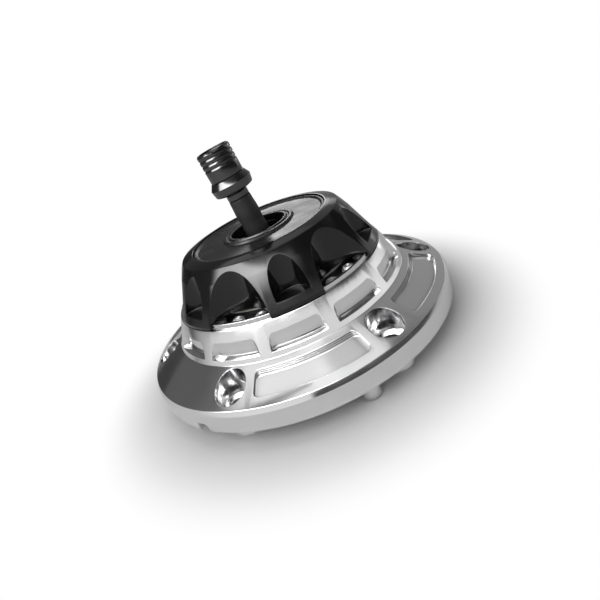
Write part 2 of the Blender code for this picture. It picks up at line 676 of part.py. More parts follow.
def make_valve(body_finish, ball_finish, parent):
    neck = HOSE_TOP + FIT
    cone = neck + VALVE_NECK_LENGTH
    collar = cone + VALVE_CONE_HEIGHT
    collar_top = neck + VALVE_COLLAR_TOP
    chamber_radius = BALL_RADIUS + BALL_CLEARANCE
    chamber_bottom = collar
    seat_height = chamber_radius - VALVE_PASSAGE_RADIUS
    spigot_top = collar_top + VALVE_SPIGOT_LENGTH
    outline = [
        (VALVE_PASSAGE_RADIUS, HOSE_TOP - VALVE_STEM_LENGTH),
        (VALVE_STEM_RADIUS, HOSE_TOP - VALVE_STEM_LENGTH),
        (VALVE_STEM_RADIUS, neck),
        (VALVE_NECK_RADIUS, neck),
        (VALVE_NECK_RADIUS, cone),
        (VALVE_COLLAR_RADIUS - VALVE_COLLAR_TAPER, collar),
        (VALVE_COLLAR_RADIUS, collar_top - VALVE_COLLAR_CHAMFER),
        (max(VALVE_CAP_RADIUS, VALVE_SPIGOT_RADIUS + FIT), collar_top),
        (VALVE_SPIGOT_RADIUS, collar_top),
        (VALVE_SPIGOT_RADIUS, spigot_top),
        (chamber_radius, spigot_top),
        (chamber_radius, chamber_bottom + seat_height),
        (VALVE_PASSAGE_RADIUS, chamber_bottom),
    ]
    add_object("valve_body", turned(outline, SMALL_SEGMENTS), body_finish, parent)
    make_valve_cap(body_finish, collar_top + FIT, spigot_top + FIT, parent)
    seat_slope = math.atan2(seat_height, chamber_radius - VALVE_PASSAGE_RADIUS)
    apex = chamber_bottom - VALVE_PASSAGE_RADIUS * math.tan(seat_slope)
    ball_height = apex + (BALL_RADIUS + FIT) / math.cos(seat_slope)
    ball = bmesh.new()
    bmesh.ops.create_uvsphere(ball, u_segments=12, v_segments=8, radius=BALL_RADIUS)
    made = add_object("check_ball", ball, ball_finish, parent)
    made.location = (0, 0, ball_height)


def make_valve_cap(finish, bottom, spigot_top, parent):
    top = bottom + VALVE_CAP_HEIGHT
    bore = VALVE_SPIGOT_RADIUS + FIT
    web_bottom = max(spigot_top, top - VALVE_DISH_DEPTH - VALVE_CAP_WEB)
    dish_radius = VALVE_CAP_RADIUS - VALVE_DISH_RIM
    side = []
    for index in reversed(range(VALVE_GROOVE_COUNT)):
        upper = top - VALVE_GROOVE_PITCH * (index + 1)
        root = VALVE_CAP_RADIUS - VALVE_GROOVE_DEPTH
        side += [
            (VALVE_CAP_RADIUS, upper - VALVE_GROOVE_WIDTH),
            (root, upper - VALVE_GROOVE_WIDTH / 2),
            (VALVE_CAP_RADIUS, upper),
        ]
    outline = [(bore, bottom), (VALVE_CAP_RADIUS, bottom), *side, (VALVE_CAP_RADIUS, top)]
    outline += [
        (dish_radius, top),
        (dish_radius, top - VALVE_DISH_DEPTH),
        (VALVE_OUTLET_RADIUS, top - VALVE_DISH_DEPTH),
        (VALVE_OUTLET_RADIUS, web_bottom),
        (bore, web_bottom),
    ]
    add_object("valve_cap", turned(outline, SMALL_SEGMENTS), finish, parent)


def main():
    clear_scene()
    silver = material("bright_aluminium", (0.78, 0.78, 0.79), 1.0, 0.22)
    black = material("black_anodised", (0.012, 0.012, 0.013), 0.4, 0.25)
    steel = material("stainless_steel", (0.72, 0.72, 0.72), 1.0, 0.2)
    rubber = material("black_rubber", (0.02, 0.02, 0.02), 0.0, 0.6)
    nylon = material("white_nylon", (0.75, 0.74, 0.7), 0.0, 0.5)

    make_flange(silver)
    make_dowels(silver)
    make_insert(black, rubber)
    make_ring_screws(steel)

    cap_axis = add_empty("cap_axis", (0, 0, 0))
    make_cap_shell(black, cap_axis)
    make_plug(black, cap_axis)
    make_seal(rubber, nylon, cap_axis)
    make_disc(black, cap_axis)
    make_fitting(black, cap_axis)

    vent_axis = add_empty("vent_axis", (0, 0, HOSE_PIVOT), (0, -VENT_LEAN, 0))
    vent_axis.parent = cap_axis
    make_hose(rubber, vent_axis)
    make_valve(black, steel, vent_axis)


main()
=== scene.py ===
"""Looks of the billet fuel filler cap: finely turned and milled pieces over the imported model.

Row frame in metres: +Z along the cap's axis, origin in the plane of the dowels' ends.
Shapes are written in millimetres and angles in degrees.
"""

import json
import math

import bmesh
import bpy
from mathutils import Matrix, Vector

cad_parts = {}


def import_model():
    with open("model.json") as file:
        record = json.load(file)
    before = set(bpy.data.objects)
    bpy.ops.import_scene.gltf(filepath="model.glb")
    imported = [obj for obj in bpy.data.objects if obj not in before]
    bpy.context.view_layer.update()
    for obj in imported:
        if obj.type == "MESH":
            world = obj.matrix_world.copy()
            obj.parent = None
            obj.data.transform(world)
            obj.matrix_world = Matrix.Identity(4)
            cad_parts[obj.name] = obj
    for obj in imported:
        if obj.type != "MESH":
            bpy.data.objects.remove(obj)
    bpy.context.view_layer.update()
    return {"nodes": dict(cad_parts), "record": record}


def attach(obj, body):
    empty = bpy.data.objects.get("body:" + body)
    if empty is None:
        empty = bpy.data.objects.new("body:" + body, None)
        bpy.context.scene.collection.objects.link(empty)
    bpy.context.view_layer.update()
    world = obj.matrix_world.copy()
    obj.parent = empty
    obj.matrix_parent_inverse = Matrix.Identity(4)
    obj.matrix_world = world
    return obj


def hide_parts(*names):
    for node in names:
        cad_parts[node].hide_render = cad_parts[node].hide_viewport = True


MM = 0.001
# Points nearer than this, in metres, become one
WELD = 1e-7
ARC_STEPS = 4
CORNER_SHARE = 0.48
SHARP_ANGLE = 30

# Flange
FLANGE_R = 65.0
RIM_BOTTOM = 7.0
RIM_TOP = 14.0
FACE_R = 64.2
FACE_EDGE = 15.9
COLLAR_R = 49.3
COLLAR_BASE = 23.1
COLLAR_TOP_R = 43.7
SHOULDER = 34.3
LIP_R = 42.4
LIP_TOP = 36.1
SOCKET_R = 41.2
SOCKET_FLOOR = 28.0
BORE_R = 33.3
SPIGOT_R = 37.3
SPIGOT_BOTTOM = 18.5
RECESS_R = 47.0
RECESS_TOP = 13.0
FLANGE_SHARP_ANGLE = 24

# Bolts, feet, dowels and the drain slot
BOLT_COUNT = 6
BOLT_CIRCLE = 56.3
BOLT_PHASE = -62.5
BOLT_HOLE_R = 3.3
COUNTERBORE_R = 6.3
COUNTERBORE_FLOOR = 12.4
BOLT_CUT_LOW = -2
BOLT_CUT_HIGH = 27
FOOT_R = 5.6
FOOT_BOTTOM = 2.4
FOOT_TOP = 9.0
DOWEL_COUNT = 3
DOWEL_CIRCLE = 58.2
DOWEL_PHASE = -77.4
DOWEL_HOLE_R = 4.0
DOWEL_HOLE_LOW = 5
DOWEL_HOLE_TOP = 13.3
SLOT_TURN = -134.4
SLOT_CENTRE = Vector((56.0, 0.0, 7.6))
SLOT_SIZE = Vector((22.0, 5.0, 5.2))

# Pockets of the collar and the face
POCKET_CORNER = 2.2
CORNER_STEPS = 8
FLAT_STEPS = 14
COLLAR_POCKETS = 12
COLLAR_POCKET_BACK = 45.6
COLLAR_POCKET_REACH = 2
COLLAR_POCKET_HALF = 12.4
COLLAR_POCKET_RISE = 1.8
COLLAR_POCKET_FILLET = 0.9
FILLET_MIDDLE = 0.26
FACE_POCKET_INNER = COLLAR_R + 2.4
FACE_POCKET_OUTER = FACE_R - 3.1
FACE_POCKET_HALF = 20.3
FACE_POCKET_TOP = COLLAR_BASE + 4
FACE_POCKET_FULL = 9
FACE_POCKET_DEPTH = 1.1
INNER_WALL_SLOPE = Vector((1.0, -2.05))
INNER_WALL_START = 0.5
INNER_WALL_LENGTH = 2.4
OUTER_WALL_FOOT = (0.5, 0.4)
GROOVE_PLACES = (0.45, 1.1, 1.75)
GROOVE_OUTLINE = ((-0.2, 0.0), (-0.1, 0.5), (0.1, 0.5), (0.2, 0.0))
# The segment that stays bare, as the photo's mark is left off
BARE_SEGMENT = 4

# Insert and its screws
INSERT_R = 40.9
INSERT_BORE_R = 30.0
INSERT_TOP = 32.3
INSERT_BOTTOM = 28.3
SLEEVE_R = 33.0
SLEEVE_BOTTOM = 13.3
SCREW_COUNT = 24
SCREW_CIRCLE = 36.2
SCREW_PHASE = -123.0
SCREW_GAP = 0.3
HEAD_R = 2.5
HEAD_HEIGHT = 1.9
HEX_R = 1.0
HEX_CUT = 1.6

# Cap and its disc
CAP_R = 43.7
CAP_BOTTOM = 34.6
CAP_TOP = 54.5
SKIRT_R = 42.7
SKIRT_TOP = 36.4
HUB_R = 30.7
WEB_BOTTOM = 48.9
WEB_TOP = 51.5
WELL_R = 11.6
RECESS_WALL_R = 28.3
GRIP_COUNT = 6
GRIP_PHASE = -87.0
NOTCH_R = 14.2
NOTCH_BACK = 34.3
NOTCH_CUT = 30
NOTCH_MIDDLE = 45
WINDOW_R = 6.4
WINDOW_BACK = 34.5
WINDOW_RISE = 3.8
WINDOW_CUT_TOP = 59
DISC_R = 28.0
DISC_TOP = 53.4
DISC_BOTTOM = 51.8
DISC_BORE_R = 11.4

# Vent, on its leaning axis
VENT_LEAN = 5.0
VENT_PIVOT = 45.8
HOSE_LOW = -3.79
HOSE_HIGH = 21.68
HOSE_BORE_R = 3.3
HOSE_END_R = 4.35
HOSE_ROUND = 0.25
HOSE_SWELL = 0.2
HOSE_WAVES = 3.3
HOSE_STEPS = 60
HOSE_ENDS = 8
HOSE_SHARP_ANGLE = 60
NECK_BOTTOM = 21.98
NECK_R = 4.4
STEM_R = 2.9
STEM_LENGTH = 8.3
PASSAGE_R = 1.5
CHAMBER_R = 3.0
CONE_HEIGHT = 1.1
COLLAR_RISE = 3.3
VALVE_COLLAR_R = 8.3
VALVE_COLLAR_LOW_R = 7.8
VALVE_COLLAR_HEIGHT = 5.4
VALVE_CHAMFER_R = 6.9
VALVE_CHAMFER = 2.35
SPIGOT_TOP_R = 4.9
SPIGOT_LENGTH = 5
VALVE_GAP = 0.3
VALVE_CAP_R = 6.7
VALVE_CAP_BORE_R = 5.2
VALVE_CAP_HEIGHT = 11.0
VALVE_RIM_R = 6.23
VALVE_DISH_R = 5.9
VALVE_DISH = 0.9
VALVE_ROOF = 4.1
OUTLET_R = 1.6
RING_PITCH = 1.9
RING_FLOOR_R = 6.3
RING_WIDTH = 0.86
RING_FLOOR = 0.21

# Finishes; noise scales are per metre
PATCH_SCALE = 90.0
PATCH_DETAIL = 4.0
UNEVEN = 0.05
GRAIN_SCALE = 2600.0
GRAIN_DETAIL = 2.0
MARK_SCALE = 3000.0
MARK_DETAIL = 3.0
NOISE_SPAN = (0.3, 0.7)
# Shade painted into creases: occlusion span, how far the base colour darkens there, and how much rougher
PAINTED_CREASE_SPAN = (0.3, 0.9)
PAINTED_CREASE_SHADE = 0.35
CREASE_DULL = 0.1
LEAST_ROUGHNESS = 0.02
SHADER_SAMPLES = 6

# Stage, in metres
FLOOR_R = 3.0
FLOOR_SHADE = 0.64
FLOOR_ROUGHNESS = 0.9
FLOOR_GLOSS = 0.1
FLOOR_FADE = (0.062, 0.1)
WORLD_LIGHT = 0.45
KEY_DIRECTION = (-0.43, -0.56, 0.70)
KEY_DISTANCE = 0.6
KEY_SIZE = 0.5
KEY_RADIANCE = 2.2
KEY_TARGET = Vector((0, 0, 0.03))

# Studio dome that polished pieces reflect; brightness 1 is white
DOME_R = 900
DOME_CENTRE = 33
DOME_LOW = -6
ROW_ANGLE = 1.5
ROW_COUNT = 61
COLUMN_ANGLE = 2
COLUMN_COUNT = 180
# Line between the collar and the cap: middle, swing and the azimuth where it is highest
CAP_LINE = 15
CAP_LINE_SWING = 17.5
CAP_LINE_PEAK = -90
# Brightness by azimuth, below and above that line
LOW_WALL = (
    (-180, 0.68),
    (-137, 0.78),
    (-68, 0.74),
    (13, 0.9),
    (48, 0.45),
    (102, 0.12),
    (150, 0.12),
    (180, 0.68),
)
HIGH_WALL = (
    (-180, 0.2),
    (-60, 0.2),
    (-40, 0.08),
    (0, 0.08),
    (25, 0.25),
    (80, 0.32),
    (102, 0.12),
    (150, 0.1),
    (180, 0.2),
)
HIGH_WALL_TOP = 64
# Tall bright panel, front left, with a soft lower edge as (start, length) left and right of its bend
PANEL = ((-180, 0.4), (-171, 7.5), (-112, 14.0), (-92, 10.5), (-75, 3.2), (-55, 0.3))
PANEL_RIGHT = -55
PANEL_TOP = 50
PANEL_BEND = -105
PANEL_EDGE_LEFT = (2, 5)
PANEL_EDGE_RIGHT = (3, 4)
PANEL_LEAST = 0.03
# Cards as (left, right, low, high)
LOWEST = -90
HIGHEST = 91
SIDE_STRIP_CARD = (30, 48, 0, 8)
SIDE_STRIP = 2.0
FRONT_DARK_CARD = (-45, 32, LOWEST, 26)
BACK_DARK_CARD = (100, 168, LOWEST, 14)
DARK = 0.05
# Low dark card whose top draws the line of the rim's chamfer
RIM_SPAN = (-102, 18)
RIM_LINE = 15
RIM_LINE_PEAK = -70
RIM_DARK = 0.06
# Strip behind the cap that lights the right of its top
BACK_STRIP_CARD = (66, 93, 15, 24)
BACK_STRIP = ((66, 0.3), (76, 2.5), (84, 6.0), (89, 5.0), (94, 0.12))
# Reflector behind and above, for the floors of the pockets
BACK_TOP_CARD = (58, 132, 42, 64)
BACK_TOP = ((58, 0.3), (72, 0.55), (90, 0.8), (132, 0.9))
# Left back, where the wall brightens towards the ceiling
RISING_CARD = (128, 172, 46, HIGHEST)
RISING_DARK = 0.12
RISING_GAIN = 0.78
RISING_LENGTH = 12
GREY_CEILING_SPAN = (15, 75)
GREY_CEILING_EDGE = 72
GREY_CEILING_DARK = 0.26
GREY_CEILING_TOP = 0.6
CEILING = 0.9
SEAM_AZIMUTH = 172
SEAM_DARK = 0.2

# Camera, fitted to the photo
SENSOR_WIDTH = 36.0
LENS = 28.963
CLIP_START = 0.01
CAMERA_RIGHT = Vector((0.91290, -0.16888, -0.37160))
CAMERA_UP = Vector((0.40818, 0.37771, 0.83109))
CAMERA_BACK = Vector((0.0, -0.91039, 0.41375))
CAMERA_PLACE = (0.00334, -0.18894, 0.10290)


def polar(radius, degrees, height=0.0):
    turn = math.radians(degrees)
    return Vector((radius * math.cos(turn), radius * math.sin(turn), height)) * MM


def rounded(points):
    """Closed outline in which a point (r, z, radius) becomes an arc of that radius."""
    made = []
    count = len(points)
    for index, point in enumerate(points):
        here = Vector(point[:2])
        if len(point) == 2:
            made.append(here)
            continue
        before = Vector(points[index - 1][:2]) - here
        after = Vector(points[(index + 1) % count][:2]) - here
        half = before.angle(after) / 2
        most = CORNER_SHARE * min(before.length, after.length)
        reach = min(point[2] / math.tan(half), most)
        start = here + before.normalized() * reach
        end = here + after.normalized() * reach
        for step in range(ARC_STEPS + 1):
            t = step / ARC_STEPS
            made.append(start * (1 - t) ** 2 + here * 2 * t * (1 - t) + end * t**2)
    return [(p.x, p.y) for p in made]


def turned(points, segments):
    """Revolves a closed outline in millimetres about Z."""
    bm = bmesh.new()
    outline = rounded(points)
    verts = [bm.verts.new((r * MM, 0, z * MM)) for r, z in outline]
    edges = []
    for first, second in zip(verts, verts[1:] + verts[:1]):
        if first.co.x > WELD or second.co.x > WELD:
            edges.append(bm.edges.new((first, second)))
    bmesh.ops.spin(
        bm,
        geom=verts + edges,
        cent=(0, 0, 0),
        axis=(0, 0, 1),
        angle=2 * math.pi,
        steps=segments,
        use_merge=True,
    )
    bmesh.ops.remove_doubles(bm, verts=bm.verts, dist=WELD)
    return bm


def pin(radius, low, high, segments):
    return turned([(0, low), (radius, low), (radius, high), (0, high)], segments)


def soft_pin(radius, low, high, segments, corner):
    """Pin with a rounded lower edge."""
    return turned([(0, low), (radius, low, corner), (radius, high), (0, high)], segments)


def prism(sides, radius, length, middle):
    bm = bmesh.new()
    bmesh.ops.create_cone(
        bm,
        cap_ends=True,
        segments=sides,
        radius1=radius * MM,
        radius2=radius * MM,
        depth=length * MM,
        matrix=Matrix.Translation((0, 0, middle * MM)),
    )
    return bm


def polar_copies(piece, count, phase, radius=0.0, skip=()):
    bm = bmesh.new()
    for index in range(count):
        if index in skip:
            continue
        turn = Matrix.Rotation(math.radians(phase + 360 * index / count), 4, "Z")
        place = turn @ Matrix.Translation((radius * MM, 0, 0))
        copy = {v: bm.verts.new(place @ v.co) for v in piece.verts}
        for face in piece.faces:
            bm.faces.new([copy[v] for v in face.verts])
    piece.free()
    return bm


def add_object(name, bm, sharp=SHARP_ANGLE):
    bm.normal_update()
    bmesh.ops.recalc_face_normals(bm, faces=bm.faces)
    mesh = bpy.data.meshes.new(name)
    bm.to_mesh(mesh)
    bm.free()
    mesh.shade_smooth()
    mesh.set_sharp_from_angle(angle=math.radians(sharp))
    made = bpy.data.objects.new(name, mesh)
    bpy.context.scene.collection.objects.link(made)
    return made


def carve(target, steps, sharp=SHARP_ANGLE):
    """Runs Boolean steps (bmesh, operation) on an object and keeps the result as its mesh."""
    helpers = []
    for index, (bm, operation) in enumerate(steps):
        helper = add_object(f"helper_{index}", bm)
        modifier = target.modifiers.new(f"step_{index}", "BOOLEAN")
        modifier.operation = operation
        modifier.solver = "EXACT"
        modifier.object = helper
        helpers.append(helper)
    graph = bpy.context.evaluated_depsgraph_get()
    mesh = bpy.data.meshes.new_from_object(target.evaluated_get(graph))
    target.modifiers.clear()
    target.data = mesh
    for helper in helpers:
        bpy.data.objects.remove(helper, do_unlink=True)
    mesh.shade_smooth()
    mesh.set_sharp_from_angle(angle=math.radians(sharp))


def pocket_stations(middle, half_angle):
    """Angles along a pocket, each with how far its round ends have narrowed it there."""
    ends = []
    for step in range(CORNER_STEPS + 1):
        swing = math.pi / 2 * step / CORNER_STEPS
        back = POCKET_CORNER * (1 - math.sin(swing))
        inset = math.degrees(POCKET_CORNER * (1 - math.cos(swing)) / middle)
        ends.append((half_angle - inset, back))
    ends.reverse()
    start = ends[0][0]
    flats = [(start * k / FLAT_STEPS, 0.0) for k in range(1, FLAT_STEPS)]
    side = flats + ends
    return [(-angle, back) for angle, back in reversed(side)] + [(0.0, 0.0)] + side


def pocket_cutter(inner, outer, half_angle, section):
    """Arc pocket about +X; section(near, far) gives its cross outline as (radius, height) points."""
    bm = bmesh.new()
    rows = []
    for angle, back in pocket_stations((inner + outer) / 2, half_angle):
        outline = section(inner + back, outer - back)
        rows.append([bm.verts.new(polar(r, angle, z)) for r, z in outline])
    size = len(rows[0])
    for row, following in zip(rows, rows[1:]):
        for a in range(size):
            b = (a + 1) % size
            bm.faces.new((row[a], row[b], following[b], following[a]))
    bm.faces.new(rows[0])
    bm.faces.new(rows[-1])
    return bm


def face_height(radius):
    return FACE_EDGE + (COLLAR_BASE - FACE_EDGE) * (FACE_R - radius) / (FACE_R - COLLAR_R)


def collar_section(near, far):
    floor = COLLAR_BASE + COLLAR_POCKET_RISE
    return [
        (near + COLLAR_POCKET_FILLET, floor),
        (far, floor),
        (far, SHOULDER),
        (near, SHOULDER),
        (near, floor + COLLAR_POCKET_FILLET),
        (near + FILLET_MIDDLE, floor + FILLET_MIDDLE),
    ]


def face_section(near, far):
    """Floor along the face, an inner wall with three fine grooves and a short outer wall."""
    scale = min(1.0, (far - near) / FACE_POCKET_FULL)
    low = face_height(far) - FACE_POCKET_DEPTH
    along = INNER_WALL_SLOPE.normalized()
    into = Vector((along.y, -along.x))
    wall = Vector((near, face_height(near)))
    outline = [wall - along * INNER_WALL_START]
    for place in GROOVE_PLACES:
        for step, depth in GROOVE_OUTLINE:
            outline.append(wall + (along * (place + step) + into * depth) * scale)
    outline.append(wall + along * INNER_WALL_LENGTH * scale)
    outline = [(point.x, point.y) for point in outline]
    foot, rise = OUTER_WALL_FOOT
    outline += [(far - foot * scale, low), (far, low + rise)]
    return outline + [(far, FACE_POCKET_TOP), (outline[0][0], FACE_POCKET_TOP)]


def make_flange():
    outline = [
        (RECESS_R, RIM_BOTTOM, 0.3),
        (FLANGE_R, RIM_BOTTOM, 0.4),
        (FLANGE_R, RIM_TOP, 0.2),
        (FACE_R, FACE_EDGE, 0.25),
        (COLLAR_R, COLLAR_BASE, 0.3),
        (COLLAR_TOP_R, SHOULDER, 0.2),
        (LIP_R, SHOULDER, 0.15),
        (LIP_R, LIP_TOP, 0.2),
        (SOCKET_R, LIP_TOP, 0.2),
        (SOCKET_R, SOCKET_FLOOR),
        (BORE_R, SOCKET_FLOOR),
        (BORE_R, SPIGOT_BOTTOM, 0.3),
        (SPIGOT_R, SPIGOT_BOTTOM, 0.3),
        (RECESS_R, RECESS_TOP, 0.5),
    ]
    bolt_outline = [
        (0, BOLT_CUT_LOW),
        (BOLT_HOLE_R, BOLT_CUT_LOW),
        (BOLT_HOLE_R, COUNTERBORE_FLOOR),
        (COUNTERBORE_R, COUNTERBORE_FLOOR, 0.3),
        (COUNTERBORE_R, BOLT_CUT_HIGH),
        (0, BOLT_CUT_HIGH),
    ]
    flange = add_object("flange_look", turned(outline, segments=240))
    foot = soft_pin(FOOT_R, FOOT_BOTTOM, FOOT_TOP, segments=48, corner=0.4)
    collar_reach = COLLAR_R + COLLAR_POCKET_REACH
    collar = pocket_cutter(COLLAR_POCKET_BACK, collar_reach, COLLAR_POCKET_HALF, collar_section)
    face = pocket_cutter(FACE_POCKET_INNER, FACE_POCKET_OUTER, FACE_POCKET_HALF, face_section)
    bolt = turned(bolt_outline, segments=64)
    dowel = pin(DOWEL_HOLE_R, DOWEL_HOLE_LOW, DOWEL_HOLE_TOP, segments=32)
    slot = bmesh.new()
    bmesh.ops.create_cube(slot, size=1.0)
    slot.transform(
        Matrix.Rotation(math.radians(SLOT_TURN), 4, "Z")
        @ Matrix.Translation(SLOT_CENTRE * MM)
        @ Matrix.Diagonal((*(SLOT_SIZE * MM), 1))
    )
    half_pitch = 180 / BOLT_COUNT
    carve(
        flange,
        [
            (polar_copies(foot, BOLT_COUNT, BOLT_PHASE, BOLT_CIRCLE), "UNION"),
            (polar_copies(collar, COLLAR_POCKETS, BOLT_PHASE), "DIFFERENCE"),
            (polar_copies(face, BOLT_COUNT, BOLT_PHASE + half_pitch, skip=(BARE_SEGMENT,)), "DIFFERENCE"),
            (polar_copies(bolt, BOLT_COUNT, BOLT_PHASE, BOLT_CIRCLE), "DIFFERENCE"),
            (polar_copies(dowel, DOWEL_COUNT, DOWEL_PHASE, DOWEL_CIRCLE), "DIFFERENCE"),
            (slot, "DIFFERENCE"),
        ],
        FLANGE_SHARP_ANGLE,
    )
    return flange


def make_insert():
    outline = [
        (INSERT_BORE_R, SLEEVE_BOTTOM),
        (SLEEVE_R, SLEEVE_BOTTOM, 0.3),
        (SLEEVE_R, INSERT_BOTTOM),
        (INSERT_R, INSERT_BOTTOM),
        (INSERT_R, INSERT_TOP, 0.3),
        (INSERT_BORE_R, INSERT_TOP, 0.5),
    ]
    return add_object("insert_look", turned(outline, segments=180))


def make_screw_heads():
    """Button heads with a hexagon socket, all in one piece."""
    low = INSERT_TOP + SCREW_GAP
    top = low + HEAD_HEIGHT
    outline = [(0, low), (HEAD_R, low), (2.45, low + 0.8, 0.3), (1.7, low + 1.7, 0.8), (0, top)]
    head = turned(outline, segments=32)
    heads = add_object("screw_look", polar_copies(head, SCREW_COUNT, SCREW_PHASE, SCREW_CIRCLE))
    socket = prism(6, HEX_R, HEX_CUT, top)
    carve(heads, [(polar_copies(socket, SCREW_COUNT, SCREW_PHASE, SCREW_CIRCLE), "DIFFERENCE")])
    return heads


def make_cap():
    outline = [
        (SKIRT_R, CAP_BOTTOM, 0.15),
        (CAP_R, CAP_BOTTOM, 0.25),
        (CAP_R, CAP_BOTTOM + 1.2, 0.6),
        (36.4, CAP_TOP - 5.7, 2.0),
        (33.2, CAP_TOP - 1.1, 0.5),
        (30.2, CAP_TOP - 0.3, 0.35),
        (28.8, CAP_TOP, 0.2),
        (RECESS_WALL_R, CAP_TOP, 0.15),
        (RECESS_WALL_R, WEB_TOP),
        (WELL_R, WEB_TOP),
        (WELL_R, WEB_BOTTOM),
        (HUB_R, WEB_BOTTOM),
        (HUB_R, SKIRT_TOP),
        (SKIRT_R, SKIRT_TOP),
    ]
    cap = add_object("cap_look", turned(outline, segments=300))
    notch = prism(160, NOTCH_R, NOTCH_CUT, NOTCH_MIDDLE)
    window = soft_pin(WINDOW_R, CAP_BOTTOM + WINDOW_RISE, WINDOW_CUT_TOP, segments=96, corner=0.4)
    notch_phase = GRIP_PHASE + 180 / GRIP_COUNT
    carve(
        cap,
        [
            (polar_copies(notch, GRIP_COUNT, notch_phase, NOTCH_BACK + NOTCH_R), "DIFFERENCE"),
            (polar_copies(window, GRIP_COUNT, GRIP_PHASE, WINDOW_BACK + WINDOW_R), "DIFFERENCE"),
        ],
    )
    return cap


def make_disc():
    outline = [
        (DISC_BORE_R, DISC_BOTTOM),
        (DISC_R, DISC_BOTTOM),
        (DISC_R, DISC_TOP + 0.6, 0.2),
        (27.2, DISC_TOP + 0.6, 0.3),
        (26.4, DISC_TOP, 0.3),
        (15.2, DISC_TOP, 0.3),
        (14.6, DISC_TOP + 0.9, 0.3),
        (13.6, DISC_TOP + 0.9, 0.2),
        (13.2, DISC_TOP + 0.5, 0.2),
        (12.6, DISC_TOP + 0.5, 0.2),
        (12.3, DISC_TOP + 1.2, 0.25),
        (DISC_BORE_R, DISC_TOP + 1.2, 0.25),
    ]
    return add_object("disc_look", turned(outline, segments=180))


def lean(obj):
    """Stands a vent piece on the leaning vent axis."""
    tilt = Matrix.Rotation(math.radians(-VENT_LEAN), 4, "Y")
    obj.data.transform(Matrix.Translation((0, 0, VENT_PIVOT * MM)) @ tilt)
    return obj


def make_hose():
    """Hose with rounded ends and a slight swell along it."""
    outline = [(HOSE_BORE_R, HOSE_LOW)]
    for step in range(HOSE_STEPS + 1):
        share = step / HOSE_STEPS
        swell = HOSE_SWELL * math.sin(share * HOSE_WAVES * math.pi) ** 2
        ease = min(1.0, HOSE_ENDS * share, HOSE_ENDS * (1 - share))
        radius = HOSE_END_R + HOSE_ROUND * ease**0.5 + swell * ease
        outline.append((radius, HOSE_LOW + (HOSE_HIGH - HOSE_LOW) * share))
    outline.append((HOSE_BORE_R, HOSE_HIGH))
    return lean(add_object("hose_look", turned(outline, segments=72), HOSE_SHARP_ANGLE))


def make_valve():
    collar = NECK_BOTTOM + COLLAR_RISE
    top = collar + VALVE_COLLAR_HEIGHT
    body = [
        (PASSAGE_R, NECK_BOTTOM - STEM_LENGTH),
        (STEM_R, NECK_BOTTOM - STEM_LENGTH),
        (STEM_R, NECK_BOTTOM),
        (NECK_R, NECK_BOTTOM, 0.2),
        (NECK_R, collar - CONE_HEIGHT, 0.3),
        (VALVE_COLLAR_LOW_R, collar, 0.5),
        (VALVE_COLLAR_R, top - VALVE_CHAMFER, 0.3),
        (VALVE_CHAMFER_R, top, 0.15),
        (SPIGOT_TOP_R, top),
        (SPIGOT_TOP_R, top + SPIGOT_LENGTH),
        (CHAMBER_R, top + SPIGOT_LENGTH),
        (CHAMBER_R, collar + 1.5),
        (PASSAGE_R, collar),
    ]
    low = top + VALVE_GAP
    high = low + VALVE_CAP_HEIGHT
    rings = []
    for number in (3, 2, 1):
        upper = high - RING_PITCH * number
        rings += [
            (VALVE_CAP_R, upper - RING_WIDTH, 0.05),
            (RING_FLOOR_R, upper - RING_FLOOR, 0.05),
            (VALVE_CAP_R, upper, 0.05),
        ]
    cap = [
        (VALVE_CAP_BORE_R, low),
        (VALVE_CAP_R, low, 0.2),
        *rings,
        (VALVE_CAP_R, high - 0.7, 0.1),
        (VALVE_RIM_R, high, 0.1),
        (VALVE_DISH_R, high, 0.1),
        (VALVE_DISH_R - 0.2, high - VALVE_DISH, 0.2),
        (OUTLET_R, high - VALVE_DISH),
        (OUTLET_R, high - VALVE_ROOF),
        (VALVE_CAP_BORE_R, high - VALVE_ROOF),
    ]
    made = add_object("valve_look", turned(body, segments=96))
    return lean(made), lean(add_object("valve_cap_look", turned(cap, segments=96)))


def set_input(node, name, value):
    node.inputs[name].default_value = value


def map_range(tree, value, start, end):
    """Maps the span start of a value onto the span end."""
    made = tree.nodes.new("ShaderNodeMapRange")
    set_input(made, "From Min", start[0])
    set_input(made, "From Max", start[1])
    set_input(made, "To Min", end[0])
    set_input(made, "To Max", end[1])
    tree.links.new(value, made.inputs["Value"])
    return made


def math_node(tree, operation, first, second):
    """Math node on two sockets."""
    made = tree.nodes.new("ShaderNodeMath")
    made.operation = operation
    tree.links.new(first, made.inputs[0])
    tree.links.new(second, made.inputs[1])
    return made.outputs["Value"]


def noise(tree, vector, scale, detail):
    made = tree.nodes.new("ShaderNodeTexNoise")
    set_input(made, "Scale", scale)
    set_input(made, "Detail", detail)
    tree.links.new(vector, made.inputs["Vector"])
    return made.outputs["Fac"]


def bump(tree, height, distance, normal):
    """Bump over an earlier normal, if there is one."""
    made = tree.nodes.new("ShaderNodeBump")
    set_input(made, "Strength", 1.0)
    set_input(made, "Distance", distance)
    tree.links.new(height, made.inputs["Height"])
    if normal:
        tree.links.new(normal, made.inputs["Normal"])
    return made.outputs["Normal"]


def ring_vector(tree, place):
    """Vector of radius and height, on which noise makes the rings of a lathe."""
    link = tree.links.new
    split = tree.nodes.new("ShaderNodeSeparateXYZ")
    link(place, split.inputs["Vector"])
    flat = tree.nodes.new("ShaderNodeCombineXYZ")
    link(split.outputs["X"], flat.inputs["X"])
    link(split.outputs["Y"], flat.inputs["Y"])
    length = tree.nodes.new("ShaderNodeVectorMath")
    length.operation = "LENGTH"
    link(flat.outputs["Vector"], length.inputs[0])
    across = tree.nodes.new("ShaderNodeCombineXYZ")
    link(length.outputs["Value"], across.inputs["X"])
    link(split.outputs["Z"], across.inputs["Z"])
    return across.outputs["Vector"]


